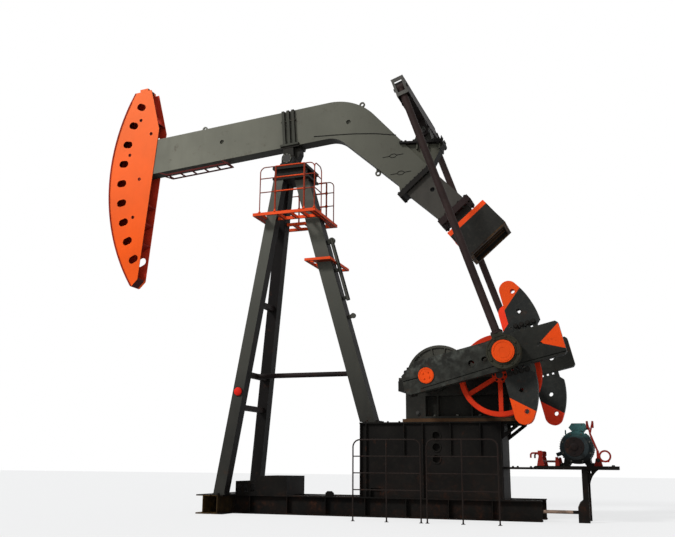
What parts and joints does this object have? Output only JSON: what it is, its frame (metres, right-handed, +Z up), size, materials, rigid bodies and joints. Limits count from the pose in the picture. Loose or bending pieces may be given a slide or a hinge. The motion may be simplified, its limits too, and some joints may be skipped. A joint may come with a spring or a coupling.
{
  "type": "pumpjack",
  "caption": "Oil-well pumping unit with a bent walking beam, curved horsehead, three-leg post, twin cranks with fin-shaped weights and a skid-mounted reducer.",
  "frame": {"origin": "on the underside of the skid, on the floor, straight below the saddle bearing of the walking beam, on the centreline", "axes": "+Z up; +X along the beam from the horsehead to the motor; -Y the near side that carries the sheave"},
  "size_m": [10.3698, 2.937, 9.1143],
  "materials": {
    "base_black": "weathered satin",
    "dark_grey_paint": "satin",
    "post_grey": "satin",
    "orange_red": "satin",
    "red_paint": "satin",
    "dark_red": "satin",
    "guard_grey": "satin",
    "motor_teal": "satin",
    "beam_grey": "satin",
    "shaft_steel": "machined",
    "head_orange": "satin",
    "head_red": "satin",
    "pitman_brown": "satin",
    "tail_grey": "satin",
    "cap_orange": "satin",
    "crank_grey": "painted cast surface",
    "weight_paint": "painted cast surface, orange tips",
    "sheave_orange": "satin"
  },
  "bodies": {
    "base": {"foot_frame": "base_black", "front_beams": "base_black", "front_legs": "post_grey", "guard_panels": "guard_grey", "leg_ties": "post_grey", "lever_fork": "red_paint", "motor": "motor_teal", "motor_frame": "base_black", "pedestal_box": "base_black", "platform_deck": "orange_red", "platform_guardrail": "orange_red", "post_head": "post_grey", "rear_leg": "post_grey", "rear_leg_rod": "post_grey", "reducer_case": "dark_grey_paint", "reducer_cover": "dark_grey_paint", "rest_platform": "orange_red", "saddle_pillows": "post_grey", "skid_frame": "base_black", "slide_screws": "red_paint"},
    "beam": {"walking_beam": "beam_grey", "saddle_stiffeners": "beam_grey", "saddle_bracket": "beam_grey", "saddle_shaft": "shaft_steel", "head_sides": "head_orange", "head_track": "head_red", "step_frame": "dark_red", "tail_extension": "beam_grey", "tail_clamp": "pitman_brown", "tail_weight": "tail_grey", "tail_bracket": "beam_grey", "tail_housing": "dark_grey_paint"},
    "pitman_set": {"equalizer_beam": "pitman_brown", "equalizer_pins": "shaft_steel", "pitmans": "pitman_brown", "pin_housings": "dark_grey_paint", "crank_pins": "cap_orange"},
    "crank_set": {"cranks": "crank_grey", "crank_weights_near": "weight_paint", "crank_weights_far": "weight_paint", "crank_shaft": "cap_orange"},
    "sheave_set": {"sheave": "sheave_orange", "input_shaft": "shaft_steel", "brake_drum": "dark_grey_paint"},
    "motor_rotor": {"motor_pulley": "dark_grey_paint"},
    "lever": {"brake_lever": "red_paint"}
  },
  "joints": [
    {"name": "beam_pivot", "type": "hinge", "parent": "base", "child": "beam", "pos_m": [0, 0, 6.96], "axis": [0, 1, 0], "range_deg": [-28.6, 31.4]},
    {"name": "tail_pivot", "type": "hinge", "parent": "beam", "child": "pitman_set", "pos_m": [2.80635, 0, 7.25139], "axis": [0, 1, 0], "range_deg": [-31.6, 28.8]},
    {"name": "crank_spin", "type": "hinge", "parent": "base", "child": "crank_set", "pos_m": [2.985, 0, 2.4], "axis": [0, 1, 0], "continuous": true},
    {"name": "sheave_spin", "type": "hinge", "parent": "base", "child": "sheave_set", "pos_m": [4.2, 0, 2.4], "axis": [0, 1, 0], "continuous": true},
    {"name": "motor_spin", "type": "hinge", "parent": "base", "child": "motor_rotor", "pos_m": [5.355, 0, 1.208], "axis": [0, 1, 0], "continuous": true},
    {"name": "lever_pivot", "type": "hinge", "parent": "base", "child": "lever", "pos_m": [5.695, -0.3, 1], "axis": [0, 1, 0], "range_deg": [0, 15]}
  ],
  "couplings": [
    {"joint": "tail_pivot", "follows": "beam_pivot", "ratio": -1},
    {"joint": "sheave_spin", "follows": "crank_spin", "ratio": 30}
  ]
}
